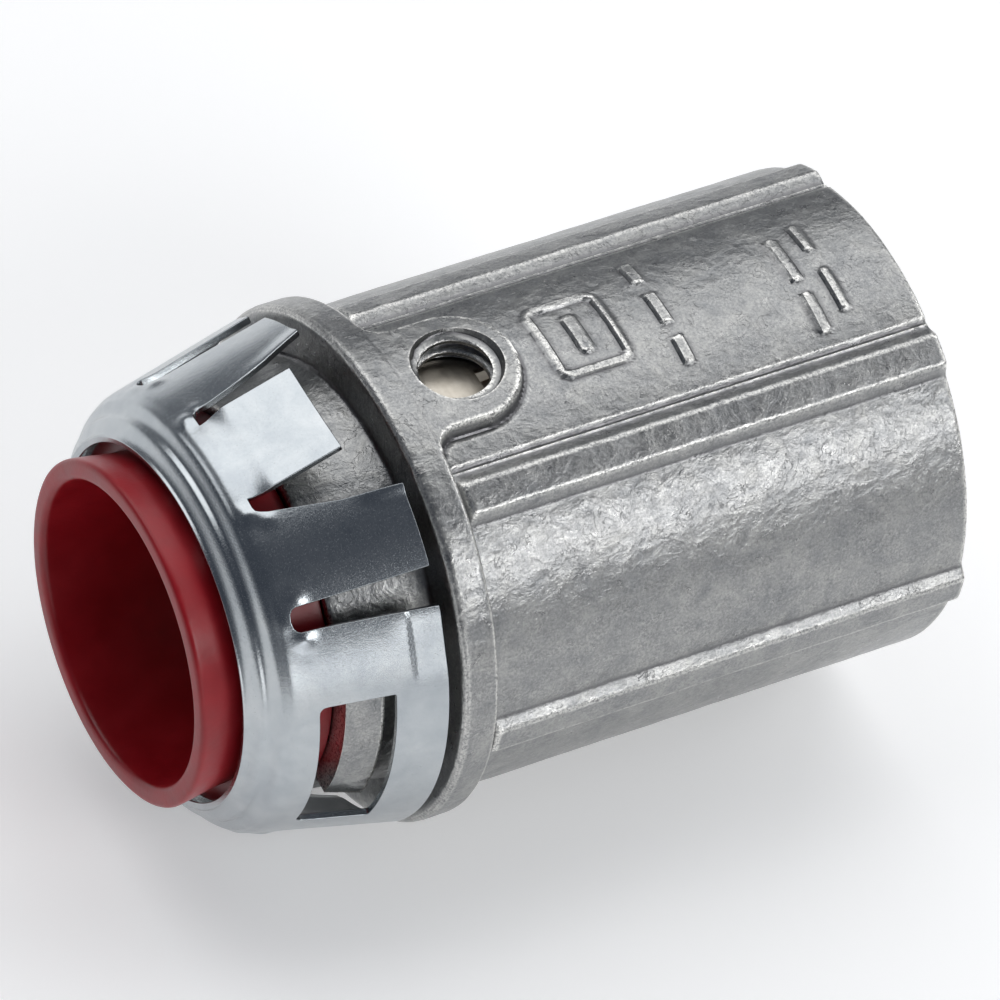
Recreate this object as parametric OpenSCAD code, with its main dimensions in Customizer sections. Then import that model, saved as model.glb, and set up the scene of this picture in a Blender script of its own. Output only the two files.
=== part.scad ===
// Push-in connector for 3/4 inch flexible conduit. A die-cast body carries an insulated throat, a slotted
// spring ring that snaps into a box knockout, and an inner spring sleeve whose tangs hold the conduit.
// Frame: X runs along the bore, and the conduit enters from +X. The box wall rests on the flange at X = 0,
// with the nose inside the box at -X. The screw hole points to +Z. Clock angles turn from +Y towards +Z.

/* [Conduit and knockout] */
// Outside diameter of the flexible conduit
conduit_d = 27.2; // [24:0.1:33]
// Diameter of the box knockout that the nose goes through
knockout_d = 28.3; // [27.8:0.1:34]
// Free way through the insulated throat
throat_d = 19.3; // [14:0.1:20]

/* [Body] */
// Thickness of the flange that stops on the box wall
flange_t = 2.4; // [1.8:0.1:4]
// How far the flange stands out beyond the knockout, on each side
flange_overlap = 2.4; // [2.3:0.1:5]
// Length of the barrel behind the flange
barrel_len = 34.1; // [28:0.1:50]
// Thickness of the barrel wall at the flange
barrel_wall = 1.25; // [1.1:0.05:1.9]
// How much the barrel's radius grows towards its rear end
barrel_draft = 0.2; // [0.1:0.05:0.4]
// Height of the ribs above the barrel
rib_h = 0.65; // [0.4:0.05:0.8]
// Width of a rib at its crest
rib_crest_w = 1.6; // [0.8:0.1:2.4]
// Width of a rib at its foot
rib_foot_w = 3.4; // [2.6:0.1:5]
// Length of the nose in front of the flange
nose_len = 6.35; // [5.4:0.05:6.6]
// How far the nose's foot is inside the knockout
nose_clear = 0.7; // [0.5:0.05:1]
// How much the nose's radius shrinks towards its front
nose_taper = 1.05; // [0.6:0.05:1.3]

/* [Screw hole] */
// Tapping diameter of the screw hole
screw_tap_d = 4.5; // [3.2:0.1:5.2]
// Diameter of the hole's mouth
screw_mouth_d = 5.9; // [5.3:0.1:6.6]
// Depth of the countersunk mouth
screw_mouth_depth = 0.5; // [0.3:0.05:0.8]
// Width of the raised pad around the hole
pad_w = 8; // [7:0.1:9]
// Distance from the flange face to the hole's centre
screw_x = 6.05; // [5.8:0.05:9]

/* [Snap ring] */
// Thickness of the spring steel of the ring
ring_sheet = 0.45; // [0.35:0.05:0.5]
// Distance from the flange face to the ring's front edge
ring_len = 12.4; // [12.2:0.1:14]
// Radius of the ring's open front edge
ring_mouth_r = 11.35; // [11.3:0.05:11.6]
// Gap between the ring's skirt and the flange face
skirt_gap = 0.85; // [0.6:0.05:1.2]
// Half angle of the ring's conical skirt
skirt_angle = 13; // [11:0.5:14]
// Half width of each lug window, in degrees
window_half = 22; // [20:0.5:24]
// Length of the lug windows
window_len = 4.75; // [4.2:0.05:4.8]
// Width of the rim strip behind the windows
window_strip = 3.1; // [2.7:0.05:3.2]
// Width of the locking tangs
tang_w = 6.5; // [5:0.1:7]
// Distance from the flange face to the free end of the locking tangs
tang_tip_x = 3.9; // [3.5:0.1:4.5]
// How far the locking tangs stand out beyond the knockout
tang_catch = 2.28; // [1.5:0.02:2.5]

/* [Conduit grip] */
// Thickness of the inner sleeve's spring steel
sleeve_t = 0.4; // [0.3:0.05:0.5]
// Length of the inner sleeve
sleeve_len = 19.8; // [19:0.1:26]
// Length of the sleeve's tangs
grip_len = 5.5; // [4.5:0.1:6]
// Half width of the sleeve's tangs, in degrees
grip_half = 12; // [8:0.5:14]
// Angle at which the sleeve's tangs lean inwards
grip_lean = 14; // [10:0.5:16]

/* [Travel] */
// Inward travel of the locking tangs, in degrees
tang_travel = 25; // [20:1:25]
// Inward travel of the skirt, in degrees
skirt_travel = 12.5; // [8:0.5:12.5]

/* [Hidden] */
$fn = 128;

// Small allowances
eps = 0.01;
sleeve_slip = 0.05;
sleeve_gap = 0.1;
bushing_gap = 0.05;
root_gap = 0.1;
edge_round = 0.3;

// Bore, wall and flange. The bore widens by a small step behind the sleeve
sleeve_in_r = conduit_d / 2 + sleeve_slip;
sleeve_out_r = sleeve_in_r + sleeve_t;
socket_r = sleeve_out_r + sleeve_gap;
entry_step = 0.25;
entry_r = socket_r + entry_step;
barrel_front_r = socket_r + barrel_wall;
barrel_rear_r = barrel_front_r + barrel_draft;
flange_r = max(knockout_d / 2 + flange_overlap, barrel_rear_r + rib_h);
flange_edge = 0.5;
body_end = flange_t + barrel_len;
stop_step = 0.7;
stop_x = flange_t - stop_step;
entry_chamfer = 0.4;

// Nose and the lugs that hold the ring
nose_foot_r = knockout_d / 2 - nose_clear;
nose_tip_r = nose_foot_r - nose_taper;
nose_edge = 0.4;
lug_foot_sink = 1;
lug_play = 0.2;
lug_side_play = 1;
lug_clear = 0.05;
lug_rise = 0.8;
lug_half = window_half - lug_side_play;
lug_rear_x = -skirt_gap - window_strip - lug_play;
lug_top_r = knockout_d / 2 - lug_clear;
lug_front_r = lug_top_r - lug_rise;
lug_angles = [0, 180];

// Throat bushing. Its collar rests on the nose, and a small rim behind the nose's bore holds it there
bushing_wall = 0.9;
bushing_in_r = throat_d / 2;
bushing_out_r = bushing_in_r + bushing_wall;
nose_bore_r = bushing_out_r + bushing_gap;
bushing_proud = 2.4;
bushing_flare = 0.5;
bushing_flare_foot = 1;
bushing_collar_w = 1.25;
bushing_collar_inset = 1.3;
bushing_seat_w = 0.35;
bushing_seat_t = 0.9;
bushing_lip_x = -ring_len - bushing_proud;
bushing_lip_r = bushing_out_r + bushing_flare;
bushing_flare_x = -ring_len + bushing_flare_foot;
bushing_collar_x = -ring_len + bushing_collar_inset;
bushing_collar_r = bushing_out_r + bushing_collar_w;
bushing_seat_r = bushing_out_r + bushing_seat_w;
seat_bore_r = bushing_seat_r + bushing_gap;
seat_x = stop_x - bushing_seat_t - bushing_gap;

// Raised ribs and pad
rib_count = 6;
rib_r = barrel_rear_r + rib_h;
rib_sink = 0.4;
pad_fillet = 1.2;

// Ring profile, from the open mouth over the rounded shoulder to the skirt
shoulder_clear = 0.17;
shoulder_edge = [0.5, 0.33];
front_len = 2.3;
root_len = 0.35;
ring_shoulder_r = knockout_d / 2 - shoulder_clear;
shoulder_x = -ring_len + front_len;
root_x = shoulder_x + root_len;
ring_rear_x = -skirt_gap;
ring_path = [
    [-ring_len, ring_mouth_r + ring_sheet],
    [shoulder_x - shoulder_edge[0], ring_shoulder_r - shoulder_edge[1]],
    [shoulder_x, ring_shoulder_r],
    [root_x, skirt_r(root_x)]];
skirt_path = [
    [root_x + root_gap, skirt_r(root_x + root_gap)],
    [ring_rear_x, skirt_r(ring_rear_x)]];
root_r = skirt_r(root_x) - ring_sheet / 2;
panel_half = 41;
finger_half = 11;
finger_offset = 30;
window_rear_x = ring_rear_x - window_strip;
window_front_x = window_rear_x - window_len;

// Locking tang, a flat tongue
tang_tip_z = knockout_d / 2 + tang_catch;
tang_root_sink = 0.05;
tang_root_z = skirt_r(root_x) - tang_root_sink;
tang_slope = atan((tang_tip_z - tang_root_z) / (-tang_tip_x - root_x));

// Inner sleeve and its tangs
sleeve_end_play = 0.3;
sleeve_x = stop_x + sleeve_end_play;
seat_end_x = sleeve_x + sleeve_len + sleeve_gap;
sleeve_slot_half = 8;
sleeve_slot_angle = 310;
grip_play = 0.3;
grip_side_play = 1.5;
grip_row_gap = 1.7;
grip_tip_front = 8.3;
grip_tip_rear = grip_tip_front + grip_len + grip_row_gap;
grip_front_angles = [100, 220, 340];
grip_rear_angles = [40, 160, 280];
grip_root_r = (sleeve_in_r + sleeve_out_r) / 2;

// Outside radius of the conical skirt at x
function skirt_r(x) = ring_shoulder_r + (x - shoulder_x) * tan(skirt_angle);

// Unit vector from point a to point b
function dir(a, b) = (b - a) / norm(b - a);

// Path moved inwards by t, with mitred corners
function inward(path, t) = [for (i = [0 : len(path) - 1])
    let (a = dir(path[max(i - 1, 0)], path[max(i, 1)]),
         b = dir(path[min(i, len(path) - 2)], path[min(i + 1, len(path) - 1)]),
         n = [a[1] + b[1], -a[0] - b[0]])
    path[i] + n * t / (1 + a * b)];

// Closed sheet outline of thickness t below a path, as [radius, x] points for turning
function sheet(path, t) = [for (p = concat(path, reverse(inward(path, t)))) [p[1], p[0]]];
function reverse(list) = [for (i = [len(list) - 1 : -1 : 0]) list[i]];

// Turns an outline of [radius, x] points around X
module turned(points) {
    rotate([0, 90, 0]) rotate_extrude() polygon(points);
}

// Turns an outline through half degrees each side of +Z
module arc(points, half) {
    rotate([0, 90, 0]) rotate([0, 0, 180 - half]) rotate_extrude(angle = 2 * half) polygon(points);
}

// Turns what is drawn at +Z round to a clock angle
module at(angle) {
    rotate([angle - 90, 0, 0]) children();
}

module rod(r, x1, x2) {
    translate([x1, 0, 0]) rotate([0, 90, 0]) cylinder(r = r, h = x2 - x1);
}

// One longitudinal rib at +Z, from the flange to the rear end
module rib() {
    foot_z = barrel_front_r - rib_sink;
    translate([flange_t - eps, 0, 0]) rotate([90, 0, 90])
        linear_extrude(body_end - flange_t + eps)
            polygon([[-rib_foot_w / 2, foot_z], [rib_foot_w / 2, foot_z],
                [rib_foot_w / 2, barrel_front_r - eps], [rib_crest_w / 2, rib_r],
                [-rib_crest_w / 2, rib_r], [-rib_foot_w / 2, barrel_front_r - eps]]);
}

// Raised pad around the screw hole, which grows out of the flange
module pad() {
    intersection() {
        rod(flange_r, flange_edge, screw_x + pad_w);
        linear_extrude(flange_r) difference() {
            union() {
                translate([screw_x, 0]) circle(d = pad_w);
                translate([flange_t / 2, -pad_w / 2]) square([screw_x - flange_t / 2, pad_w]);
                translate([flange_t / 2, -pad_w / 2 - pad_fillet])
                    square([flange_t / 2 + pad_fillet, pad_w + 2 * pad_fillet]);
            }
            for (side = [-1, 1])
                translate([flange_t + pad_fillet, side * (pad_w / 2 + pad_fillet)])
                    circle(r = pad_fillet);
        }
    }
}

module ring_lug() {
    arc([[nose_tip_r - lug_foot_sink, -nose_len], [lug_front_r, -nose_len],
        [lug_top_r, lug_rear_x], [nose_tip_r - lug_foot_sink, lug_rear_x]], lug_half);
}

module connector_body() {
    color("silver") difference() {
        union() {
            turned([[0, -nose_len], [nose_tip_r - nose_edge, -nose_len], [nose_tip_r, -nose_len + nose_edge],
                [nose_foot_r, 0], [flange_r - flange_edge, 0], [flange_r, flange_edge],
                [flange_r, flange_t - edge_round], [flange_r - edge_round, flange_t],
                [barrel_front_r, flange_t], [barrel_rear_r, body_end - edge_round],
                [barrel_rear_r - edge_round, body_end], [0, body_end]]);
            for (i = [0 : rib_count - 1]) at(i * 360 / rib_count) rib();
            for (angle = lug_angles) at(angle) ring_lug();
            pad();
        }
        rod(nose_bore_r, -nose_len - eps, seat_x + eps);
        rod(seat_bore_r, seat_x, stop_x + eps);
        rod(socket_r, stop_x, seat_end_x);
        turned([[0, seat_end_x - eps], [entry_r, seat_end_x - eps], [entry_r, body_end - entry_chamfer],
            [entry_r + entry_chamfer + eps, body_end + eps], [0, body_end + eps]]);
        translate([screw_x, 0, 0]) cylinder(d = screw_tap_d, h = flange_r + eps);
        translate([screw_x, 0, flange_r - screw_mouth_depth])
            cylinder(d1 = screw_tap_d, d2 = screw_mouth_d, h = screw_mouth_depth + eps);
    }
}

module throat_bushing() {
    color("firebrick") turned([[bushing_in_r, bushing_lip_x + edge_round],
        [bushing_in_r + edge_round, bushing_lip_x], [bushing_lip_r - edge_round, bushing_lip_x],
        [bushing_lip_r, bushing_lip_x + edge_round], [bushing_out_r, bushing_flare_x],
        [bushing_out_r, bushing_collar_x], [bushing_collar_r, bushing_collar_x],
        [bushing_collar_r, -nose_len - bushing_gap], [bushing_out_r, -nose_len - bushing_gap],
        [bushing_out_r, seat_x + bushing_gap], [bushing_seat_r, seat_x + bushing_gap],
        [bushing_seat_r, stop_x], [bushing_in_r + edge_round, stop_x],
        [bushing_in_r, stop_x - edge_round]]);
}

// Closed front of the spring ring: the mouth, the shoulder and the roots of all its tongues
module snap_ring() {
    color("lightsteelblue") turned(sheet(ring_path, ring_sheet));
}

// Takes the metal away in front of a tongue's root, along the plane it reaches at full travel
module root_cut(travel) {
    reach = knockout_d;
    translate([root_x + root_gap, 0, root_r]) rotate([0, -travel, 0])
        translate([-reach, -reach, -reach]) cube([reach, 2 * reach, 2 * reach]);
}

// Flat locking tang at +Z, springing up from the ring
module locking_tang() {
    color("aliceblue") difference() {
        translate([root_x, 0, tang_root_z]) rotate([0, -tang_slope, 0])
            translate([0, -tang_w / 2, -ring_sheet])
                cube([(-tang_tip_x - root_x) / cos(tang_slope), tang_w, ring_sheet]);
        root_cut(tang_travel);
    }
}

// Part of the conical skirt at +Z
module skirt(half) {
    difference() {
        arc(sheet(skirt_path, ring_sheet), half);
        root_cut(skirt_travel);
    }
}

// Side of the skirt with the window that the body's lug fills
module skirt_panel() {
    color("lightsteelblue") difference() {
        skirt(panel_half);
        arc([[nose_tip_r, window_front_x], [flange_r, window_front_x],
            [flange_r, window_rear_x], [nose_tip_r, window_rear_x]], window_half);
    }
}

module skirt_finger() {
    color("lightsteelblue") skirt(finger_half);
}

// Part of the inner sleeve's wall at +Z, between two places along the axis
module sleeve_wall(x1, x2, half, play = 0) {
    arc([[sleeve_in_r - play, x1], [sleeve_out_r + play, x1],
        [sleeve_out_r + play, x2], [sleeve_in_r - play, x2]], half);
}

// Window in the sleeve around one tang
module grip_window(tip_x) {
    sleeve_wall(tip_x - grip_play, tip_x + grip_len, grip_half + grip_side_play, sleeve_t);
}

module retainer_sleeve() {
    color("gray") difference() {
        turned([[sleeve_in_r, sleeve_x], [sleeve_out_r, sleeve_x],
            [sleeve_out_r, sleeve_x + sleeve_len], [sleeve_in_r, sleeve_x + sleeve_len]]);
        at(sleeve_slot_angle)
            sleeve_wall(sleeve_x - eps, sleeve_x + sleeve_len + eps, sleeve_slot_half, sleeve_t);
        for (angle = grip_front_angles) at(angle) grip_window(grip_tip_front);
        for (angle = grip_rear_angles) at(angle) grip_window(grip_tip_rear);
    }
}

// Tang at +Z, rooted at its rear and leaning inwards towards the nose
module grip_tang(tip_x) {
    root = tip_x + grip_len;
    color("dimgray") difference() {
        translate([root, 0, grip_root_r]) rotate([0, -grip_lean, 0]) translate([-root, 0, -grip_root_r])
            sleeve_wall(tip_x, root - root_gap, grip_half);
        translate([root - root_gap, 0, grip_root_r]) rotate([0, grip_lean, 0])
            translate([0, -grip_root_r, -grip_root_r]) cube(2 * grip_root_r);
    }
}

connector_body();
throat_bushing();
snap_ring();
at(90) locking_tang();  // locking_tang_top
at(270) locking_tang();  // locking_tang_bottom
at(180) skirt_panel();  // skirt_panel_left
at(0) skirt_panel();  // skirt_panel_right
at(90 + finger_offset) skirt_finger();  // skirt_finger_top_left
at(90 - finger_offset) skirt_finger();  // skirt_finger_top_right
at(270 - finger_offset) skirt_finger();  // skirt_finger_bottom_left
at(270 + finger_offset) skirt_finger();  // skirt_finger_bottom_right
retainer_sleeve();
at(grip_front_angles[0]) grip_tang(grip_tip_front);  // grip_tang_front_1
at(grip_front_angles[1]) grip_tang(grip_tip_front);  // grip_tang_front_2
at(grip_front_angles[2]) grip_tang(grip_tip_front);  // grip_tang_front_3
at(grip_rear_angles[0]) grip_tang(grip_tip_rear);  // grip_tang_rear_1
at(grip_rear_angles[1]) grip_tang(grip_tip_rear);  // grip_tang_rear_2
at(grip_rear_angles[2]) grip_tang(grip_tip_rear);  // grip_tang_rear_3
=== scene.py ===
"""Snap-in conduit connector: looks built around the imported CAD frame.

X runs along the bore, the nose points to -X and the screw hole to +Z. Clock angles turn from +Y to +Z, so
the hole is at 90 degrees. Sizes are millimetres until a mesh is made.
"""

import math

import bpy
import numpy as np
from mathutils import Matrix, Vector, noise
from mathutils.geometry import delaunay_2d_cdt


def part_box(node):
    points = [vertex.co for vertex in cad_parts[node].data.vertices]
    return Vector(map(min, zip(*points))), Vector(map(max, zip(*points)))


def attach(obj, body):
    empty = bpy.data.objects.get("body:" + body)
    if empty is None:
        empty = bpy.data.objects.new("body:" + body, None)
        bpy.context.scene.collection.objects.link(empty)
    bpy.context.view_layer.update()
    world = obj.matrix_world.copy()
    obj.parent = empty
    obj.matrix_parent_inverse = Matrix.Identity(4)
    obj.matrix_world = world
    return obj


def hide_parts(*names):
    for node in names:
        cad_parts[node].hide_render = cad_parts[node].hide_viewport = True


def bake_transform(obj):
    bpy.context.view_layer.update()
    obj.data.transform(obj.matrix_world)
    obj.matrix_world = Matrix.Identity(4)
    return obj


MM = 0.001

# ---------------------------------------------------------------- camera and frame

CAMERA_PLACE = (-0.17275, -0.22283, 0.32652)
CAMERA_RIGHT = Vector((0.8624, -0.4800, 0.1606))
CAMERA_UP = Vector((0.2765, 0.7125, 0.6449))
CAMERA_LENS = 253.73


def make_camera():
    data = bpy.data.cameras.new("camera")
    data.lens = CAMERA_LENS
    data.sensor_width = 36
    data.clip_start = 0.01
    camera = bpy.data.objects.new("camera", data)
    bpy.context.scene.collection.objects.link(camera)
    right = CAMERA_RIGHT.normalized()
    back = right.cross(CAMERA_UP).normalized()
    up = back.cross(right)
    camera.matrix_world = Matrix.Translation(CAMERA_PLACE) @ Matrix((right, up, back)).transposed().to_4x4()
    bpy.context.scene.camera = camera


def box_mm(node):
    lo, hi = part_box(node)
    return lo / MM, hi / MM


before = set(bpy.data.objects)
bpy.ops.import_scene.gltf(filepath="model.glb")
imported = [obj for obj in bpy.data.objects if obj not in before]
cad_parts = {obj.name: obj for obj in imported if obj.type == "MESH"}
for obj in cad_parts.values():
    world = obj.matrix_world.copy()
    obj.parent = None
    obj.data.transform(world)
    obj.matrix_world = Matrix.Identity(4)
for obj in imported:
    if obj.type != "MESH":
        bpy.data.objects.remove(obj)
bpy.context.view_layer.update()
make_camera()

# ---------------------------------------------------------------- sizes from the frame

body_lo, body_hi = box_mm("connector_body")
ring_lo = box_mm("snap_ring")[0]
bushing_lo, bushing_hi = box_mm("throat_bushing")
tang_lo, tang_hi = box_mm("locking_tang_top")

BODY_END = body_hi.x
FLANGE_R = body_hi.z
NOSE_X = body_lo.x
FLANGE_T = 2.4
BARREL_FRONT_R = 15.4
BARREL_REAR_R = 15.6
NOSE_TIP_R = 12.4
NOSE_FOOT_R = 13.45
NOSE_BORE_R = 10.6
SEAT_R = 10.95
SEAT_X = 0.75
STOP_X = 1.7
SOCKET_R = 14.15
SOCKET_STEP_X = 21.9
ENTRY_R = 14.4
ENTRY_CHAMFER = 0.4

HOLE_X = 6.05
HOLE_MINOR_R = 2.25
HOLE_MAJOR_R = 2.72
HOLE_MOUTH_R = 2.95
HOLE_MOUTH_DEPTH = 0.5
THREAD_PITCH = 1.06
PAD_HALF = 4.0
PAD_FILLET = 1.3

RIB_ANGLES = range(0, 360, 60)
RIB_CREST = 2.9
RIB_FOOT = 6.2
RIB_H = 0.62

RING_FRONT_X = ring_lo.x
SHOULDER_X = -10.1
SHOULDER_R = 13.98
SKIRT_END_X = -0.9
SKIRT_SLOPE = math.tan(math.radians(13))
SHEET_T = 0.45


def smooth(a, b, x):
    """0 before a, 1 after b, and smooth between them, also with b below a."""
    t = np.clip((x - a) / (b - a), 0, 1)
    return t * t * (3 - 2 * t)


def on_clock(x, r, degrees):
    """Points at radius r and a clock angle, as rows of x, y, z."""
    t = np.radians(degrees)
    return np.stack(np.broadcast_arrays(x, r * np.cos(t), r * np.sin(t)), -1)


def angle_from(centre, degrees):
    """Signed angle from centre, between -180 and 180."""
    return (degrees - centre + 180) % 360 - 180


def rough(points, size, seed):
    """Noise between about -1 and 1 at points in millimetres, with bumps of about that size."""
    shift = Vector((seed * 13.7, seed * 5.1, seed * 9.3))
    values = [noise.noise(Vector(point) / size + shift) for point in points.reshape(-1, 3)]
    return np.array(values).reshape(points.shape[:-1])


def add_mesh(name, points, faces, material):
    """A smooth-shaded object from points in millimetres."""
    mesh = bpy.data.meshes.new(name)
    mesh.from_pydata((np.asarray(points, float) * MM).tolist(), [], faces)
    mesh.validate()
    mesh.materials.append(material)
    piece = bpy.data.objects.new(name, mesh)
    bpy.context.scene.collection.objects.link(piece)
    mesh.polygons.foreach_set("use_smooth", [True] * len(mesh.polygons))
    return piece


def grid_faces(rows, columns):
    """Quads of a grid that closes on itself both ways."""
    i, j = np.meshgrid(np.arange(rows), np.arange(columns), indexing="ij")
    k, l = (i + 1) % rows, (j + 1) % columns
    corners = [i * columns + j, i * columns + l, k * columns + l, k * columns + j]
    return np.stack(corners, -1).reshape(-1, 4).tolist()


def rounded(corner, before, after, radius, steps=5):
    """Points of a rounded corner between the directions to the points before and after it."""
    c, a, b = (np.array(p, float) for p in (corner, before, after))
    a = c + (a - c) / np.linalg.norm(a - c) * radius
    b = c + (b - c) / np.linalg.norm(b - c) * radius
    return [tuple((1 - s) ** 2 * a + 2 * s * (1 - s) * c + s * s * b) for s in np.linspace(0, 1, steps)]


def soften(points, radii, steps=5):
    """Open path with each inner corner rounded by its radius."""
    path = [points[0]]
    for i in range(1, len(points) - 1):
        if radii[i]:
            path += rounded(points[i], points[i - 1], points[i + 1], radii[i], steps)
        else:
            path.append(points[i])
    return path + [points[-1]]


def filled(path, step):
    """Path with points added so that none are further apart than step(x)."""
    out = [path[0]]
    for a, b in zip(path, path[1:]):
        length = math.dist(a, b)
        n = max(1, math.ceil(length / step((a[0] + b[0]) / 2)))
        out += [tuple(np.array(a) + (np.array(b) - np.array(a)) * k / n) for k in range(1, n + 1)]
    return out


# ---------------------------------------------------------------- materials

class Nodes:
    """A short way to build one material's node tree. Lengths are millimetres in object space."""

    def __init__(self, name):
        self.material = bpy.data.materials.new(name)
        self.material.use_nodes = True
        self.tree = self.material.node_tree
        self.shader = self.tree.nodes["Principled BSDF"]
        self.place = self.tree.nodes.new("ShaderNodeTexCoord").outputs["Object"]

    def link(self, source, target):
        self.tree.links.new(source, target)

    def noise(self, size, detail=3.0, roughness=0.6, distortion=0.0, stretch=(1, 1, 1)):
        mapping = self.tree.nodes.new("ShaderNodeMapping")
        mapping.inputs["Scale"].default_value = [1 / (size * MM * k) for k in stretch]
        self.link(self.place, mapping.inputs["Vector"])
        node = self.tree.nodes.new("ShaderNodeTexNoise")
        node.inputs["Scale"].default_value = 1.0
        node.inputs["Detail"].default_value = detail
        node.inputs["Roughness"].default_value = roughness
        node.inputs["Distortion"].default_value = distortion
        self.link(mapping.outputs["Vector"], node.inputs["Vector"])
        return node.outputs["Fac"]

    def pits(self, size):
        mapping = self.tree.nodes.new("ShaderNodeMapping")
        mapping.inputs["Scale"].default_value = [1 / (size * MM)] * 3
        self.link(self.place, mapping.inputs["Vector"])
        node = self.tree.nodes.new("ShaderNodeTexVoronoi")
        node.inputs["Scale"].default_value = 1.0
        self.link(mapping.outputs["Vector"], node.inputs["Vector"])
        return node.outputs["Distance"]

    def scale(self, source, low, high, to_low, to_high):
        node = self.tree.nodes.new("ShaderNodeMapRange")
        for key, value in zip(("From Min", "From Max", "To Min", "To Max"), (low, high, to_low, to_high)):
            node.inputs[key].default_value = value
        self.link(source, node.inputs["Value"])
        return node.outputs["Result"]

    def full(self, source):
        """A noise stretched so that it runs from 0 to 1."""
        return self.scale(source, 0.3, 0.7, 0.0, 1.0)

    def math(self, operation, a, b):
        node = self.tree.nodes.new("ShaderNodeMath")
        node.operation = operation
        for value, target in zip((a, b), node.inputs):
            if isinstance(value, (int, float)):
                target.default_value = value
            else:
                self.link(value, target)
        return node.outputs["Value"]

    def ramp(self, source, *stops):
        node = self.tree.nodes.new("ShaderNodeValToRGB")
        elements = node.color_ramp.elements
        while len(elements) < len(stops):
            elements.new(0.5)
        for element, (position, colour) in zip(elements, stops):
            element.position = position
            element.color = (*colour, 1)
        self.link(source, node.inputs["Fac"])
        return node.outputs["Color"]

    def mix(self, factor, a, b):
        node = self.tree.nodes.new("ShaderNodeMix")
        node.data_type = "RGBA"
        self.link(factor, node.inputs["Factor"])
        for value, key in ((a, 6), (b, 7)):
            if isinstance(value, tuple):
                node.inputs[key].default_value = (*value, 1)
            else:
                self.link(value, node.inputs[key])
        return node.outputs[2]

    def bump(self, *heights):
        """Chains bumps, each given as (height, depth in mm)."""
        normal = None
        for height, depth in heights:
            node = self.tree.nodes.new("ShaderNodeBump")
            node.inputs["Distance"].default_value = depth * MM
            self.link(height, node.inputs["Height"])
            if normal is not None:
                self.link(normal, node.inputs["Normal"])
            normal = node.outputs["Normal"]
        self.link(normal, self.shader.inputs["Normal"])

    def ridge_light_mask(self, low, high):
        """0 where a piece's ridge value is low and 1 where it is high, for painted shade and painted
        highlights. See mark_ridges.
        """
        ridge = self.tree.nodes.new("ShaderNodeAttribute")
        ridge.attribute_name = "ridge"
        return self.scale(ridge.outputs["Fac"], low, high, 0.0, 1.0)

    def hairlines(self, size, width, distortion):
        """1 on thin wandering lines and 0 between them."""
        away = self.math("ABSOLUTE", self.math("SUBTRACT", self.noise(size, 2, 0.5, distortion), 0.5), 0)
        return self.scale(away, 0.0, width, 1.0, 0.0)


def zinc_material():
    n = Nodes("cast_zinc")
    n.shader.inputs["Metallic"].default_value = 1.0
    mottle = n.noise(2.4, detail=5, roughness=0.7, distortion=0.6)
    grain = n.noise(0.17, detail=4, roughness=0.8)
    streaks = n.noise(0.8, detail=4, roughness=0.6, distortion=0.5, stretch=(1.4, 1, 1))
    lines = n.math("MULTIPLY", n.hairlines(1.1, 0.012, 1.2), n.scale(n.noise(1.7), 0.45, 0.6, 0.0, 1.0))
    colour = n.ramp(n.full(mottle), (0.0, (0.20, 0.21, 0.22)), (0.5, (0.30, 0.305, 0.305)),
                    (1.0, (0.43, 0.43, 0.415)))
    specks = n.ramp(n.scale(grain, 0.34, 0.66, 0.0, 1.0), (0.0, (0.13, 0.13, 0.135)),
                    (0.4, (0.27, 0.27, 0.27)), (1.0, (0.52, 0.52, 0.50)))
    colour = n.mix(n.scale(streaks, 0.3, 0.7, 0.2, 0.65), colour, specks)
    colour = n.mix(n.math("MULTIPLY", lines, 0.55), colour, (0.20, 0.20, 0.20))
    # Painted shade: a darker colour in hollows and creases, where the ridge value is low.
    colour = n.mix(n.ridge_light_mask(0.497, 0.470), colour, (0.16, 0.16, 0.165))
    # Painted highlight: near-white glints on ridges and rib edges, broken up by the grain.
    painted_edge_glints = n.math("MULTIPLY", n.ridge_light_mask(0.508, 0.54), n.scale(grain, 0.42, 0.52, 0.1, 1.0))
    colour = n.mix(painted_edge_glints, colour, (0.88, 0.87, 0.83))
    n.link(colour, n.shader.inputs["Base Color"])
    n.link(n.scale(streaks, 0.3, 0.72, 0.40, 0.25), n.shader.inputs["Roughness"])
    n.bump((mottle, 0.08), (streaks, 0.055), (grain, 0.012), (n.pits(0.7), 0.02), (lines, -0.012))
    return n.material


def plated_material():
    n = Nodes("plated_steel")
    n.shader.inputs["Metallic"].default_value = 1.0
    cloud = n.noise(2.6, detail=4, roughness=0.6, distortion=0.4)
    grain = n.noise(0.12, detail=3, roughness=0.8)
    drawn = n.noise(0.22, detail=3, roughness=0.6, stretch=(7, 1, 1))
    colour = n.ramp(n.full(cloud), (0.0, (0.40, 0.43, 0.455)), (0.5, (0.455, 0.485, 0.505)),
                    (1.0, (0.51, 0.535, 0.55)))
    n.link(colour, n.shader.inputs["Base Color"])
    n.link(n.scale(grain, 0.3, 0.7, 0.17, 0.29), n.shader.inputs["Roughness"])
    n.bump((cloud, 0.009), (drawn, 0.005), (grain, 0.008))
    return n.material


def red_material():
    n = Nodes("red_nylon")
    haze = n.noise(3.0, detail=4, roughness=0.6)
    grain = n.noise(0.25, detail=3, roughness=0.7)
    colour = n.ramp(n.full(haze), (0.0, (0.24, 0.004, 0.009)), (1.0, (0.33, 0.007, 0.014)))
    n.link(colour, n.shader.inputs["Base Color"])
    n.link(n.scale(haze, 0.3, 0.7, 0.30, 0.42), n.shader.inputs["Roughness"])
    n.shader.inputs["Subsurface Weight"].default_value = 0.04
    n.shader.inputs["Subsurface Radius"].default_value = (0.0015, 0.0003, 0.0002)
    n.shader.inputs["Specular IOR Level"].default_value = 0.45
    n.bump((haze, 0.05), (grain, 0.008))
    return n.material


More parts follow.
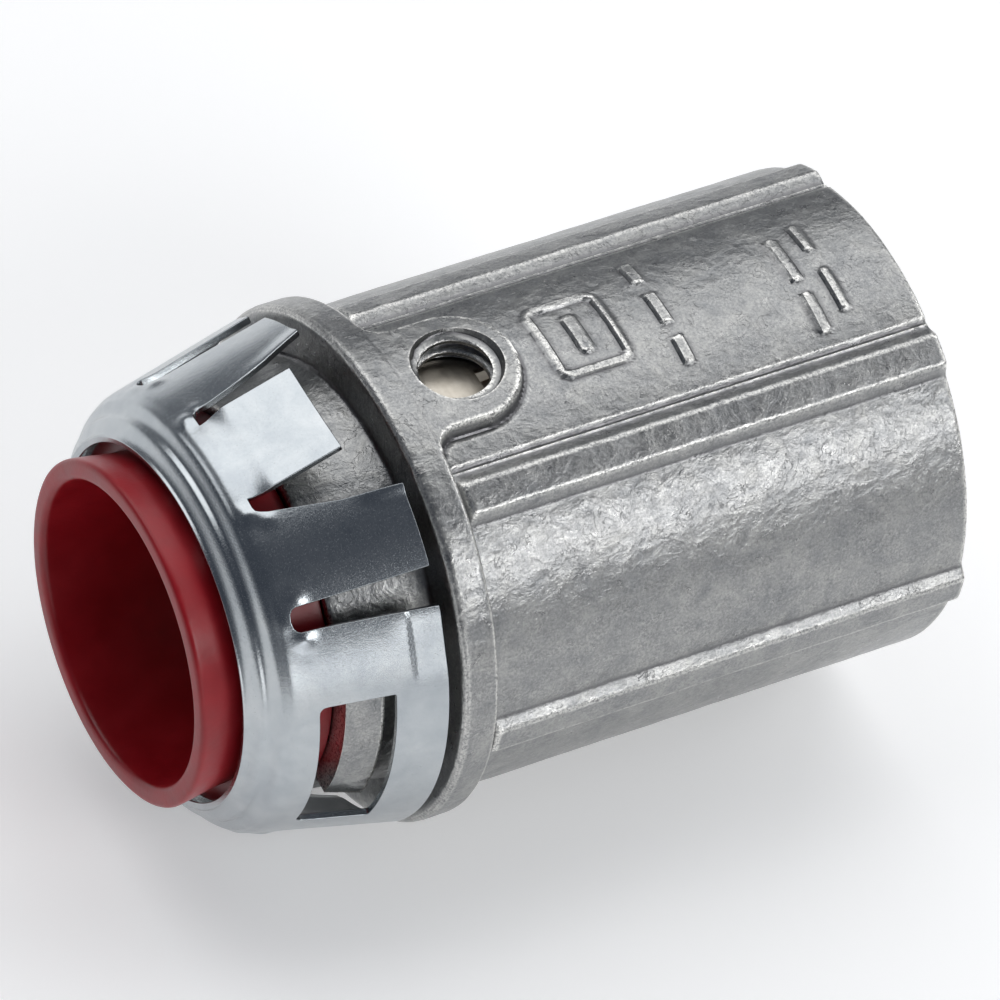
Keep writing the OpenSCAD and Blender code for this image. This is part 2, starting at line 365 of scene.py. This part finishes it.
def strip_material():
    n = Nodes("strip_steel")
    n.shader.inputs["Metallic"].default_value = 1.0
    rolled = n.noise(0.3, detail=4, roughness=0.6, stretch=(1, 8, 8))
    cloud = n.noise(1.8, detail=4, roughness=0.6)
    colour = n.ramp(n.full(cloud), (0.0, (0.44, 0.40, 0.34)), (1.0, (0.62, 0.58, 0.51)))
    n.link(colour, n.shader.inputs["Base Color"])
    n.link(n.scale(rolled, 0.3, 0.7, 0.30, 0.45), n.shader.inputs["Roughness"])
    n.bump((cloud, 0.02), (rolled, 0.008))
    return n.material


ZINC = zinc_material()
PLATED = plated_material()
RED = red_material()
STRIP = strip_material()

# ---------------------------------------------------------------- die-cast body


OUTLINE_STEP = 0.14
REAR_OUTLINE_STEP = 0.2


def barrel_r(x):
    """Outside radius of the plain barrel, which widens a little to the rear."""
    return BARREL_FRONT_R + (BARREL_REAR_R - BARREL_FRONT_R) * (x - FLANGE_T) / (BODY_END - FLANGE_T)


def body_outline():
    """The body's section as (x, r): the path along the outside, and the path back along the bore."""
    outer = soften(
        [(NOSE_X, NOSE_BORE_R), (NOSE_X, NOSE_TIP_R), (-0.05, NOSE_FOOT_R), (0.0, FLANGE_R),
         (FLANGE_T - 0.05, FLANGE_R), (FLANGE_T + 0.05, barrel_r(FLANGE_T)), (BODY_END, BARREL_REAR_R),
         (BODY_END, ENTRY_R + ENTRY_CHAMFER)],
        [0, 0.35, 0.3, 0.6, 0.35, 0.4, 0.35, 0])
    inner = [(BODY_END, ENTRY_R + ENTRY_CHAMFER), (BODY_END - ENTRY_CHAMFER, ENTRY_R),
             (SOCKET_STEP_X, ENTRY_R), (SOCKET_STEP_X - 0.02, SOCKET_R), (STOP_X, SOCKET_R),
             (STOP_X, SEAT_R), (SEAT_X, SEAT_R), (SEAT_X, NOSE_BORE_R), (NOSE_X, NOSE_BORE_R)]
    outer = filled(outer, lambda x: OUTLINE_STEP if x < HOLE_X + 6 else REAR_OUTLINE_STEP)
    return outer, filled(inner, lambda x: 4.0 if x > SOCKET_STEP_X else 2.0)[1:-1]


def clock_columns():
    """Angles of the grid's columns, closer together where there are small details."""
    angles, t = [], 0.0
    while t < 359.99:
        near_rib = abs(angle_from(round(t / 60) * 60, t)) < 8
        detailed = 62 < t < 118
        angles.append(t)
        t += 0.5 if near_rib or detailed else 1.0
    return np.array(angles)


PANEL_HALF = 24
PANEL_RISE = 0.12
GROOVE_DEPTH = 0.22
GROOVE_ANGLE = 22.8


def rib_rise(x, t):
    """How far the outside stands above the plain barrel: ribs, and the hole's panel between two grooves."""
    from_hole = np.abs(angle_from(90, t))
    rise = PANEL_RISE * smooth(PANEL_HALF, PANEL_HALF - 0.5, from_hole)
    for centre in RIB_ANGLES:
        rise = np.maximum(rise, RIB_H * smooth(RIB_FOOT, RIB_CREST, np.abs(angle_from(centre, t))))
    return rise - GROOVE_DEPTH * np.exp(-((from_hole - GROOVE_ANGLE) / 0.6) ** 2)


def pad_distance(x, y):
    """Signed distance from the outline of the pad around the hole, negative inside."""
    round_end = np.hypot(x - HOLE_X, y) - PAD_HALF
    stem = np.where(x < HOLE_X, np.abs(y) - PAD_HALF, round_end)
    corner_x, corner_y = FLANGE_T + PAD_FILLET, PAD_HALF + PAD_FILLET
    fillet = PAD_FILLET - np.hypot(x - corner_x, np.abs(y) - corner_y)
    in_corner = (x < corner_x) & (np.abs(y) < corner_y) & (np.abs(y) > PAD_HALF - PAD_FILLET)
    return np.where(in_corner, fillet, np.minimum(round_end, stem))


MARK_H = 0.2
MARK_SOFT = 0.06
PLATE_X = 14.6
PLATE_HALF_X = 2.6
PLATE_HALF_Y = 2.9
PLATE_CORNER = 0.9
FRAME_HALF = 0.25
BAR_CORNER = 0.3
# Each bar's centre along and across the panel, and half its length and width.
BARS = [(PLATE_X, 0.0, 0.45, 1.5), (20.3, -3.2, 0.4, 1.0), (20.3, 0.0, 0.4, 1.3), (20.3, 3.2, 0.4, 1.0),
        (29.6, -3.6, 0.4, 1.5), (29.6, 0.6, 0.4, 1.8), (31.6, -2.4, 0.35, 1.6), (31.6, 1.8, 0.35, 1.2)]


def rounded_box(x, y, cx, cy, half_x, half_y, corner):
    """Signed distance from a rounded rectangle, negative inside."""
    qx, qy = np.abs(x - cx) - half_x + corner, np.abs(y - cy) - half_y + corner
    return np.hypot(np.maximum(qx, 0), np.maximum(qy, 0)) + np.minimum(np.maximum(qx, qy), 0) - corner


def marks_rise(x, y):
    """Plain raised relief on the panel: a frame around one bar, and two rows of blank bars."""
    plate = rounded_box(x, y, PLATE_X, 0, PLATE_HALF_X, PLATE_HALF_Y, PLATE_CORNER)
    rise = smooth(MARK_SOFT, -MARK_SOFT, np.abs(plate + FRAME_HALF) - FRAME_HALF)
    for cx, cy, half_x, half_y in BARS:
        bar = rounded_box(x, y, cx, cy, half_x, half_y, BAR_CORNER)
        rise = np.maximum(rise, smooth(MARK_SOFT, -MARK_SOFT, bar))
    return MARK_H * rise


LUG_HALF = 21
LUG_REAR_X = -4.0
LUG_FRONT_R = 13.3
LUG_TOP_R = 14.1


def with_barrel_details(x, r, t, on_outside):
    """Radius with the ribs, the marks and the pad around the hole."""
    y = r * np.radians(angle_from(90, t)) * -1
    in_barrel = on_outside & (x > FLANGE_T - 0.2) & (r > BARREL_FRONT_R - 0.45)
    plain = np.minimum(r, barrel_r(x))
    rise = rib_rise(x, t) * smooth(FLANGE_T, FLANGE_T + 0.6, x) + marks_rise(x, y)
    at_flange = r > barrel_r(x) + 0.05
    r = np.where(in_barrel, np.where(at_flange, np.maximum(r, plain + rise), plain + rise), r)
    by_pad = np.abs(y) < 3 * PAD_HALF
    to_pad = smooth(0.2, -0.22, pad_distance(x, y)) * (x > FLANGE_T - 0.4) * by_pad
    shadow_line = 0.12 * np.exp(-((pad_distance(x, y) - 0.3) / 0.16) ** 2) * (x > FLANGE_T + 0.3)
    return np.where(in_barrel, r + (FLANGE_R - r) * to_pad - shadow_line * by_pad, r)


def with_lugs(x, r, t, on_outside):
    """Radius with the two wedge lugs that stand in the ring's windows."""
    lug_r = LUG_FRONT_R + (LUG_TOP_R - LUG_FRONT_R) * (x - NOSE_X) / (LUG_REAR_X - NOSE_X)
    side = np.minimum(np.abs(angle_from(0, t)), np.abs(angle_from(180, t)))
    is_lug = smooth(LUG_HALF + 0.4, LUG_HALF - 0.6, side) * smooth(LUG_REAR_X + 0.1, LUG_REAR_X - 0.1, x)
    return np.where(on_outside & (x < -0.5) & (r > NOSE_TIP_R - 0.4), r + (lug_r - r) * is_lug, r)


def make_body():
    outer, inner = body_outline()
    columns = clock_columns()
    path = np.array(outer + inner)
    x, r = (np.repeat(path[:, k, None], len(columns), 1) for k in (0, 1))
    t = np.repeat(columns[None, :], len(path), 0)
    on_outside = np.arange(len(path))[:, None] < len(outer) + 0 * t
    r = with_barrel_details(x, r, t, on_outside)
    r = with_lugs(x, r, t, on_outside)
    points = on_clock(x, r, t)
    uneven = 0.035 * rough(points, 4.0, 1) + 0.016 * rough(points, 1.3, 2) + 0.008 * rough(points, 0.6, 3)
    radial = on_clock(0.0, 1.0, t)
    keep_in = np.where(r > FLANGE_R - 0.3, np.minimum(uneven, 0) - 0.01, uneven)
    points = points + radial * (keep_in * (on_outside & (x < BODY_END - 0.05)))[..., None]
    faces = grid_faces(len(path), len(columns))
    piece = add_mesh("body_casting", points.reshape(-1, 3), faces, ZINC)
    drill(piece)
    mark_ridges(piece)
    piece.data.set_sharp_from_angle(angle=math.radians(38))
    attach(piece, "fitting")
    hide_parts("connector_body")


def hole_cutter():
    """The threaded screw hole as a solid to take away."""
    bottom, top = SOCKET_R - 1.5, FLANGE_R + 0.4
    z = np.arange(bottom, top, 0.06)[:, None]
    turn = np.linspace(0, 2 * math.pi, 96, endpoint=False)[None, :]
    phase = (z / THREAD_PITCH + turn / (2 * math.pi)) % 1
    thread = smooth(0.12, 0.42, phase) * smooth(0.92, 0.62, phase)
    r = HOLE_MINOR_R + (HOLE_MAJOR_R - HOLE_MINOR_R) * thread
    mouth_foot = FLANGE_R - HOLE_MOUTH_DEPTH
    mouth = HOLE_MAJOR_R + (HOLE_MOUTH_R - HOLE_MAJOR_R) * (z - mouth_foot) / HOLE_MOUTH_DEPTH
    r = np.where(z > mouth_foot, np.maximum(r, mouth), r)
    ring = np.stack([HOLE_X + r * np.cos(turn), r * np.sin(turn), z + 0 * turn], -1)
    rows, columns = ring.shape[:2]
    i, j = np.meshgrid(np.arange(rows - 1), np.arange(columns), indexing="ij")
    l = (j + 1) % columns
    sides = np.stack([i * columns + j, i * columns + l, (i + 1) * columns + l, (i + 1) * columns + j], -1)
    ends = [list(range(columns))[::-1], list(range((rows - 1) * columns, rows * columns))]
    return ring.reshape(-1, 3), sides.reshape(-1, 4).tolist() + ends


def drill(piece):
    points, faces = hole_cutter()
    cutter = add_mesh("hole_cutter", points, faces, ZINC)
    cut = piece.modifiers.new("hole", "BOOLEAN")
    cut.operation = "DIFFERENCE"
    cut.object = cutter
    cut.solver = "EXACT"
    shape = piece.evaluated_get(bpy.context.evaluated_depsgraph_get())
    mesh = bpy.data.meshes.new_from_object(shape)
    piece.modifiers.clear()
    piece.data = mesh
    bpy.data.objects.remove(cutter)


def mark_ridges(piece):
    """Stores at each vertex how far it stands out from its neighbours: 0.5 when flat, more on a ridge."""
    mesh = piece.data
    points, normals = np.empty((len(mesh.vertices), 3)), np.empty((len(mesh.vertices), 3))
    ends = np.empty((len(mesh.edges), 2), int)
    mesh.vertices.foreach_get("co", points.ravel())
    mesh.vertices.foreach_get("normal", normals.ravel())
    mesh.edges.foreach_get("vertices", ends.ravel())
    side = points[ends[:, 0]] - points[ends[:, 1]]
    side /= np.maximum(np.linalg.norm(side, axis=1, keepdims=True), 1e-9)
    total = np.zeros_like(points)
    np.add.at(total, ends[:, 0], side)
    np.add.at(total, ends[:, 1], -side)
    neighbours = np.maximum(np.bincount(ends.ravel(), minlength=len(points)), 1)
    ridge = 1 - np.arccos(np.clip((normals * total).sum(1) / neighbours, -1, 1)) / math.pi
    spread = ridge.copy()
    np.add.at(spread, ends[:, 0], ridge[ends[:, 1]])
    np.add.at(spread, ends[:, 1], ridge[ends[:, 0]])
    mesh.attributes.new("ridge", "FLOAT", "POINT").data.foreach_set("value", spread / (neighbours + 1))


# ---------------------------------------------------------------- spring ring

TANG_HALF = (tang_hi.y - tang_lo.y) / 2
TANG_TIP_X = tang_hi.x
TANG_TIP_Z = tang_hi.z
TANG_SEAM_X = -9.5
SEAM_X = -9.15
BLEND_LEN = 1.1
UNROLL_R = 15.0
RING_FRONT_R = 11.8
RING_FRONT_SLOPE = 1.03
SHOULDER_SOFTNESS = 0.15
GROOVE_RISE = 0.11
GROOVE_PITCH = 0.95
WINDOW_X = (-8.7, -3.98)
WINDOW_HALF = 22.4
SLOT_TIP_X = -9.62
NEAR_EDGE = [(SEAM_X, 106.8), (-8.7, 107.5), (-4.6, 111.0), (SKIRT_END_X, 112.5)]
FAR_EDGE = [(SEAM_X, 72.6), (-8.8, 72.0), (-3.8, 68.0), (SKIRT_END_X, 64.5)]
SLOT_FINGER_SIDE = [(SEAM_X, 131.0), (SKIRT_END_X, 130.5)]
SLOT_PANEL_SIDE = [(SEAM_X, 137.5), (SKIRT_END_X, 139.5)]
# Raised spots at the cuts' ends: x, clock angle, height and width.
DIMPLES = [(-9.75, 134.3, 0.10, 0.8), (-9.0, 139.3, 0.15, 0.6), (-9.0, 129.4, 0.13, 0.6),
           (-8.9, 109.0, 0.10, 0.5), (-9.85, 106.0, 0.10, 0.6), (-9.85, 73.5, 0.10, 0.6)]


def along(edge, x):
    return np.interp(x, [p[0] for p in edge], [p[1] for p in edge])


def ring_r(x):
    """Outside radius of the spring ring: grooved front, rounded shoulder and conical skirt."""
    behind_front = x - RING_FRONT_X
    front = RING_FRONT_R + RING_FRONT_SLOPE * behind_front
    wave = np.sin(2 * math.pi * behind_front / GROOVE_PITCH)
    front = front - GROOVE_RISE * wave * smooth(2.2, 1.4, behind_front)
    cone = SHOULDER_R + (x - SHOULDER_X) * SKIRT_SLOPE
    k = SHOULDER_SOFTNESS
    return -k * np.logaddexp(-front / k, -cone / k)


def ring_bulge(x, t):
    """What the press left on the ring: raised metal around the cuts, flared corners and a creased rim."""
    half = t % 180
    bulge = 0.0
    for at_x, at_t, height, width in DIMPLES:
        for place in (at_t, 180 - at_t):
            away = np.hypot(x - at_x, angle_from(place, half) * math.radians(UNROLL_R))
            bulge = bulge + height * np.exp(-(away / width) ** 2)
    near = (half - along(NEAR_EDGE, x)) * math.radians(UNROLL_R)
    far = (along(FAR_EDGE, x) - half) * math.radians(UNROLL_R)
    bulge = bulge + 0.26 * smooth(-4.2, -1.2, x) * np.exp(-(near / 0.5) ** 2)
    bulge = bulge + 0.20 * smooth(-7.0, -1.5, x) * np.exp(-(far / 0.6) ** 2)
    curl = (half - along(SLOT_PANEL_SIDE, x)) * math.radians(UNROLL_R)
    bulge = bulge + 0.16 * smooth(-4.5, -2.0, x) * np.exp(-(curl / 1.2) ** 2)
    crease = smooth(-3.0, -2.65, x) * smooth(157, 149, half) * smooth(130, 136, half)
    return bulge - 0.11 * crease


def on_ring(x, t):
    return on_clock(x, ring_r(x) + ring_bulge(x, t), t)


def on_tang(x, t):
    """The tang's flat plate, which grows out of the ring's round surface at its root."""
    across = np.radians(t - 90) * UNROLL_R
    rise = (x - TANG_SEAM_X) / (TANG_TIP_X - TANG_SEAM_X)
    root_z = ring_r(TANG_SEAM_X) - 0.1
    dish = -0.05 * np.cos(np.clip(across / TANG_HALF, -1, 1) * math.pi / 2) * smooth(0, 0.4, rise)
    plate = np.stack([x + 0 * t, -across, root_z + (TANG_TIP_Z - 0.02 - root_z) * rise + dish], -1)
    flat = smooth(TANG_SEAM_X, TANG_SEAM_X + 1.7, x)[..., None]
    return on_ring(x, t) * (1 - flat) + plate * flat


def surface_normals(surface, x, t):
    d = 0.02
    du = surface(x + d, t) - surface(x - d, t)
    dv = surface(x, t + d) - surface(x, t - d)
    n = np.cross(dv, du)
    return n / np.linalg.norm(n, axis=-1, keepdims=True)


def resampled(loop, step):
    """Closed loop of (x, degrees) with its sides cut into steps, in unrolled millimetres."""
    flat = [np.array((x, math.radians(t) * UNROLL_R)) for x, t in loop]
    out = []
    for a, b in zip(flat, flat[1:] + flat[:1]):
        n = max(1, round(np.linalg.norm(b - a) / step))
        out += [a + (b - a) * k / n for k in range(n)]
    return np.array(out)


def inside(points, loops):
    """Which points lie inside an odd number of loops."""
    odd = np.zeros(len(points), bool)
    for loop in loops:
        for a, b in zip(loop, np.roll(loop, -1, 0)):
            crosses = (a[1] > points[:, 1]) != (b[1] > points[:, 1])
            slope = (b[0] - a[0]) / (b[1] - a[1] + 1e-12)
            odd ^= crosses & (points[:, 0] < a[0] + (points[:, 1] - a[1]) * slope)
    return odd


def cut_sheet(name, outlines, surface, step=0.22, turn=0, whole=False):
    """A piece of sheet cut to outlines in (x, degrees), laid on a surface and thickened inwards."""
    loops = [resampled(outline, step) for outline in outlines]
    edge_points = np.concatenate(loops)
    lo, hi = edge_points.min(0), edge_points.max(0)
    gx, gv = np.meshgrid(np.arange(lo[0], hi[0], step), np.arange(lo[1], hi[1], step))
    gx[::2] += step / 2
    grid = np.stack([gx.ravel(), gv.ravel()], -1)
    grid = grid[inside(grid, loops)]
    clear = np.array([np.abs(edge_points - p).sum(1).min() > 0.75 * step for p in grid])
    flat = np.concatenate([edge_points, grid[clear]])
    edges, first = [], 0
    for loop in loops:
        edges += [(first + k, first + (k + 1) % len(loop)) for k in range(len(loop))]
        first += len(loop)
    made, _, triangles, _, _, _ = delaunay_2d_cdt([Vector(p) for p in flat], edges, [], 0, 1e-6)
    flat = np.array(made)
    triangles = np.array(triangles)
    a, b, c = (flat[triangles[:, k]] for k in range(3))
    area = np.abs((b[:, 0] - a[:, 0]) * (c[:, 1] - a[:, 1]) - (c[:, 0] - a[:, 0]) * (b[:, 1] - a[:, 1]))
    triangles = triangles[inside(flat[triangles].mean(1), loops) & (area > 1e-3 * step * step)]
    if whole:
        triangles = welded(flat, triangles)
    x, t = flat[:, 0], np.degrees(flat[:, 1] / UNROLL_R) + turn
    outer, normals = surface(x, t), surface_normals(surface, x, t)
    return thickened(name, outer, normals, triangles)


def welded(flat, triangles):
    """Joins the two ends of a sheet that goes all the way round."""
    end = 2 * math.pi * UNROLL_R
    at_start = {round(p[0], 4): k for k, p in enumerate(flat) if abs(p[1]) < 1e-4}
    same = {k: at_start[round(p[0], 4)] for k, p in enumerate(flat) if abs(p[1] - end) < 1e-4}
    return np.array([[same.get(k, k) for k in triangle] for triangle in triangles.tolist()])


def thickened(name, outer, normals, triangles):
    """Closed sheet from its outer surface: inner surface, and a rolled wall along each free edge."""
    a, b, c = (outer[triangles[:, k]] for k in range(3))
    if (np.cross(b - a, c - a) * normals[triangles[:, 0]]).sum() < 0:
        triangles = triangles[:, ::-1]
    count = len(outer)
    directed = {(p, q) for tri in triangles.tolist() for p, q in zip(tri, tri[1:] + tri[:1])}
    rim = [(p, q) for p, q in directed if (q, p) not in directed]
    away = np.zeros_like(outer)
    for p, q in rim:
        side = np.cross(outer[q] - outer[p], normals[p])
        away[p] += side / (np.linalg.norm(side) + 1e-9)
        away[q] += side / (np.linalg.norm(side) + 1e-9)
    length = np.linalg.norm(away, axis=1, keepdims=True)
    away = np.where(length > 0.1, away / np.maximum(length, 0.1), normals)
    roll = 0.06
    rings = [outer, outer + away * roll - normals * roll, outer + away * roll - normals * (SHEET_T - roll),
             outer - normals * SHEET_T]
    directions = [normals, away, away, -normals]
    points, faces, corner_normals = np.concatenate(rings), [], []
    for tri in triangles.tolist():
        faces.append(tri)
        corner_normals += [normals[k] for k in tri]
        faces.append([k + 3 * count for k in tri[::-1]])
        corner_normals += [-normals[k] for k in tri[::-1]]
    for p, q in rim:
        for level in range(3):
            corners = [(q, level), (p, level), (p, level + 1), (q, level + 1)]
            faces.append([k + l * count for k, l in corners])
            corner_normals += [directions[l][k] for k, l in corners]
    used = np.unique(np.concatenate([np.array(f) for f in faces]))
    index = np.full(len(points), -1)
    index[used] = np.arange(len(used))
    faces = [[int(index[k]) for k in face] for face in faces]
    piece = add_mesh(name, points[used], faces, PLATED)
    piece.data.normals_split_custom_set([tuple(n) for n in corner_normals])
    return piece


def both_ways(edge, mirrored):
    """An edge of the ring's upper half, or its mirror image on the far side."""
    return [(x, 180 - t) for x, t in edge] if mirrored else edge


def tongue_outline(first, second):
    """Outline between two edges that run from the root to the rear."""
    return first + [(x, t) for x, t in reversed(second)]


def window_outline():
    half = WINDOW_HALF
    corners = [(WINDOW_X[0], 180 - half), (WINDOW_X[1], 180 - half), (WINDOW_X[1], 180 + half),
               (WINDOW_X[0], 180 + half)]
    scale = math.radians(UNROLL_R)
    flat = [(x, t * scale) for x, t in corners]
    path = []
    for k, radius in enumerate((0.6, 0.2, 0.2, 0.6)):
        path += rounded(flat[k], flat[k - 1], flat[(k + 1) % 4], radius)
    return [(x, v / scale) for x, v in path]


def collar_outline():
    """Unrolled outline of the ring's closed front, whose rear edge has the tips of all the cuts in it."""
    tip = SLOT_TIP_X
    slot = [(SEAM_X, 131.0), (tip + 0.25, 131.4), (tip + 0.08, 132.4), (tip, 134.2), (tip + 0.08, 136.1),
            (tip + 0.25, 137.1), (SEAM_X, 137.5)]
    top = [(SEAM_X, FAR_EDGE[0][1]), (TANG_SEAM_X + 0.08, 73.2), (TANG_SEAM_X, 74.2), (TANG_SEAM_X, 105.2),
           (TANG_SEAM_X + 0.08, 106.2), (SEAM_X, NEAR_EDGE[0][1])]
    half = both_ways(slot, True)[::-1] + top + slot
    rear = half + [(x, t + 180) for x, t in half]
    return [(RING_FRONT_X, 0), (SEAM_X, 0)] + rear + [(SEAM_X, 360), (RING_FRONT_X, 360)]


def make_ring():
    collar = cut_sheet("ring_collar", [collar_outline()], on_ring, step=0.15, whole=True)
    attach(collar, "fitting")
    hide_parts("snap_ring")
    finger_near = tongue_outline(NEAR_EDGE, SLOT_FINGER_SIDE)
    finger_far = tongue_outline(both_ways(SLOT_FINGER_SIDE, True), FAR_EDGE)
    panel = tongue_outline(SLOT_PANEL_SIDE, [(x, 360 - t) for x, t in SLOT_PANEL_SIDE])
    half_width = math.degrees(TANG_HALF / UNROLL_R)
    tang = [(TANG_SEAM_X, 90 - half_width), (TANG_TIP_X, 90 - half_width), (TANG_TIP_X, 90 + half_width),
            (TANG_SEAM_X, 90 + half_width)]
    tongues = [("skirt_finger_top_left", [finger_near], 0, 120),
               ("skirt_finger_top_right", [finger_far], 0, 60),
               ("skirt_finger_bottom_right", [finger_near], 180, 300),
               ("skirt_finger_bottom_left", [finger_far], 180, 240),
               ("skirt_panel_left", [panel, window_outline()], 0, 180),
               ("skirt_panel_right", [panel, window_outline()], 180, 0),
               ("locking_tang_top", [tang], 0, 90), ("locking_tang_bottom", [tang], 180, 270)]
    for node, outlines, turn, centre in tongues:
        is_tang = node.startswith("locking")
        surface = on_tang if is_tang else on_ring
        piece = cut_sheet("bent_" + node, outlines, surface, turn=0 if is_tang else turn)
        if is_tang and turn:
            piece.data.transform(Matrix.Rotation(math.pi, 4, "X"))
        seam = TANG_SEAM_X if is_tang else SEAM_X
        start, end = (on_clock(x, SHOULDER_R, centre) * MM for x in (seam, seam + BLEND_LEN))
        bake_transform(piece)
        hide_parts(node)


# ---------------------------------------------------------------- bushing

THROAT_R = 9.65
LIP_R = 11.05
NECK_R = 10.55
RIM_R = 10.9
COLLAR_INSET = 1.3


def make_bushing():
    """The moulded throat: a rounded lip, a drawn-in neck, a collar on the nose and a rim behind it."""
    lip_x, end_x = bushing_lo.x, bushing_hi.x
    in_r, lip_r, neck_r, rim_r, collar_r = THROAT_R, LIP_R, NECK_R, RIM_R, bushing_hi.z
    collar_x = RING_FRONT_X + COLLAR_INSET
    path = soften(
        [(end_x, in_r + 0.6), (end_x, in_r), (lip_x, in_r), (lip_x, lip_r), (lip_x + 3.2, neck_r),
         (collar_x, neck_r), (collar_x, collar_r), (NOSE_X - 0.05, collar_r), (NOSE_X - 0.05, neck_r),
         (SEAT_X + 0.05, neck_r), (SEAT_X + 0.05, rim_r), (end_x, rim_r), (end_x, in_r + 0.6)],
        [0, 0.3, 0.5, 0.45, 0.4, 0, 0.3, 0.1, 0, 0, 0.1, 0.1, 0], steps=7)[:-1]
    path = np.array(filled(path + path[:1], lambda x: 0.5)[:-1])
    columns = np.arange(0, 360, 1.5)
    x, r = (np.repeat(path[:, k, None], len(columns), 1) for k in (0, 1))
    t = np.repeat(columns[None, :], len(path), 0)
    points = on_clock(x, r, t)
    wavy = np.minimum(0.05 * rough(points, 6.0, 7), 0.0)
    points = points + on_clock(0.0, 1.0, t) * wavy[..., None]
    piece = add_mesh("bushing_moulding", points.reshape(-1, 3), grid_faces(*x.shape), RED)
    piece.data.set_sharp_from_angle(angle=math.radians(50))
    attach(piece, "fitting")
    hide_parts("throat_bushing")


def finish_sleeve():
    """The inner sleeve and its tangs keep their CAD shape and get the strip steel's finish."""
    for name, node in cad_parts.items():
        if name.startswith(("retainer", "grip")):
            node.data.materials.clear()
            node.data.materials.append(STRIP)


# ---------------------------------------------------------------- studio

FLOOR_Z = body_lo.z * MM - 0.0004


def stage_material(name, colour, glow):
    n = Nodes(name)
    n.shader.inputs["Emission Color"].default_value = (1, 1, 1, 1)
    n.shader.inputs["Emission Strength"].default_value = glow
    paper = n.noise(40, detail=2)
    lighter = tuple(min(1, part * 1.02) for part in colour)
    n.link(n.ramp(paper, (0.0, colour), (1.0, lighter)), n.shader.inputs["Base Color"])
    n.shader.inputs["Roughness"].default_value = 0.9
    n.shader.inputs["Specular IOR Level"].default_value = 0.1
    return n.material


def make_card(name, centre, aim, width, height, material):
    """A flat card that faces a point."""
    mesh = bpy.data.meshes.new(name)
    w, h = width / 2, height / 2
    mesh.from_pydata([(-w, -h, 0), (w, -h, 0), (w, h, 0), (-w, h, 0)], [], [(0, 1, 2, 3)])
    mesh.materials.append(material)
    card = bpy.data.objects.new(name, mesh)
    card.location = centre
    card.rotation_mode = "QUATERNION"
    card.rotation_quaternion = (Vector(aim) - Vector(centre)).to_track_quat("Z", "Y")
    bpy.context.scene.collection.objects.link(card)


def make_light(name, place, aim, width, height, radiance):
    """A soft box whose face is as bright as radiance, where a white wall in full light is 1."""
    data = bpy.data.lights.new(name, "AREA")
    data.shape = "RECTANGLE"
    data.size, data.size_y = width, height
    data.energy = radiance * math.pi * width * height
    light = bpy.data.objects.new(name, data)
    light.location = place
    light.rotation_mode = "QUATERNION"
    light.rotation_quaternion = (Vector(aim) - Vector(place)).to_track_quat("-Z", "Y")
    bpy.context.scene.collection.objects.link(light)


def make_stage():
    pale = stage_material("floor_paper", (0.92, 0.92, 0.92), glow=0.25)
    centre = (0.01, 0.0, 0.0)
    make_card("floor", (0, 0, FLOOR_Z), (0, 0, 1), 4, 4, pale)
    make_light("overhead", (0.18, 0.55, 1.1), centre, 1.9, 1.25, 1.6)
    make_light("behind", (1.5, -0.2, 1.0), centre, 1.0, 1.0, 2.5)
    make_light("near_right", (0.55, -1.0, 0.7), centre, 0.7, 0.45, 5.0)
    make_light("near_low", (-0.2, -1.3, 0.24), centre, 0.6, 0.4, 1.7)
    bpy.context.scene.view_settings.view_transform = "Standard"
    make_world()


def make_world():
    """Surroundings that are grey up to the horizon and darker overhead."""
    world = bpy.data.worlds.new("studio")
    world.use_nodes = True
    tree = world.node_tree
    place = tree.nodes.new("ShaderNodeTexCoord")
    split = tree.nodes.new("ShaderNodeSeparateXYZ")
    ramp = tree.nodes.new("ShaderNodeValToRGB")
    tree.links.new(place.outputs["Generated"], split.inputs["Vector"])
    tree.links.new(split.outputs["Z"], ramp.inputs["Fac"])
    tree.links.new(ramp.outputs["Color"], tree.nodes["Background"].inputs["Color"])
    ramp.color_ramp.elements[0].position = 0.15
    ramp.color_ramp.elements[0].color = (0.24, 0.25, 0.27, 1)
    ramp.color_ramp.elements[1].position = 0.5
    ramp.color_ramp.elements[1].color = (0.07, 0.08, 0.10, 1)
    bpy.context.scene.world = world


make_body()
make_ring()
make_bushing()
finish_sleeve()
make_stage()
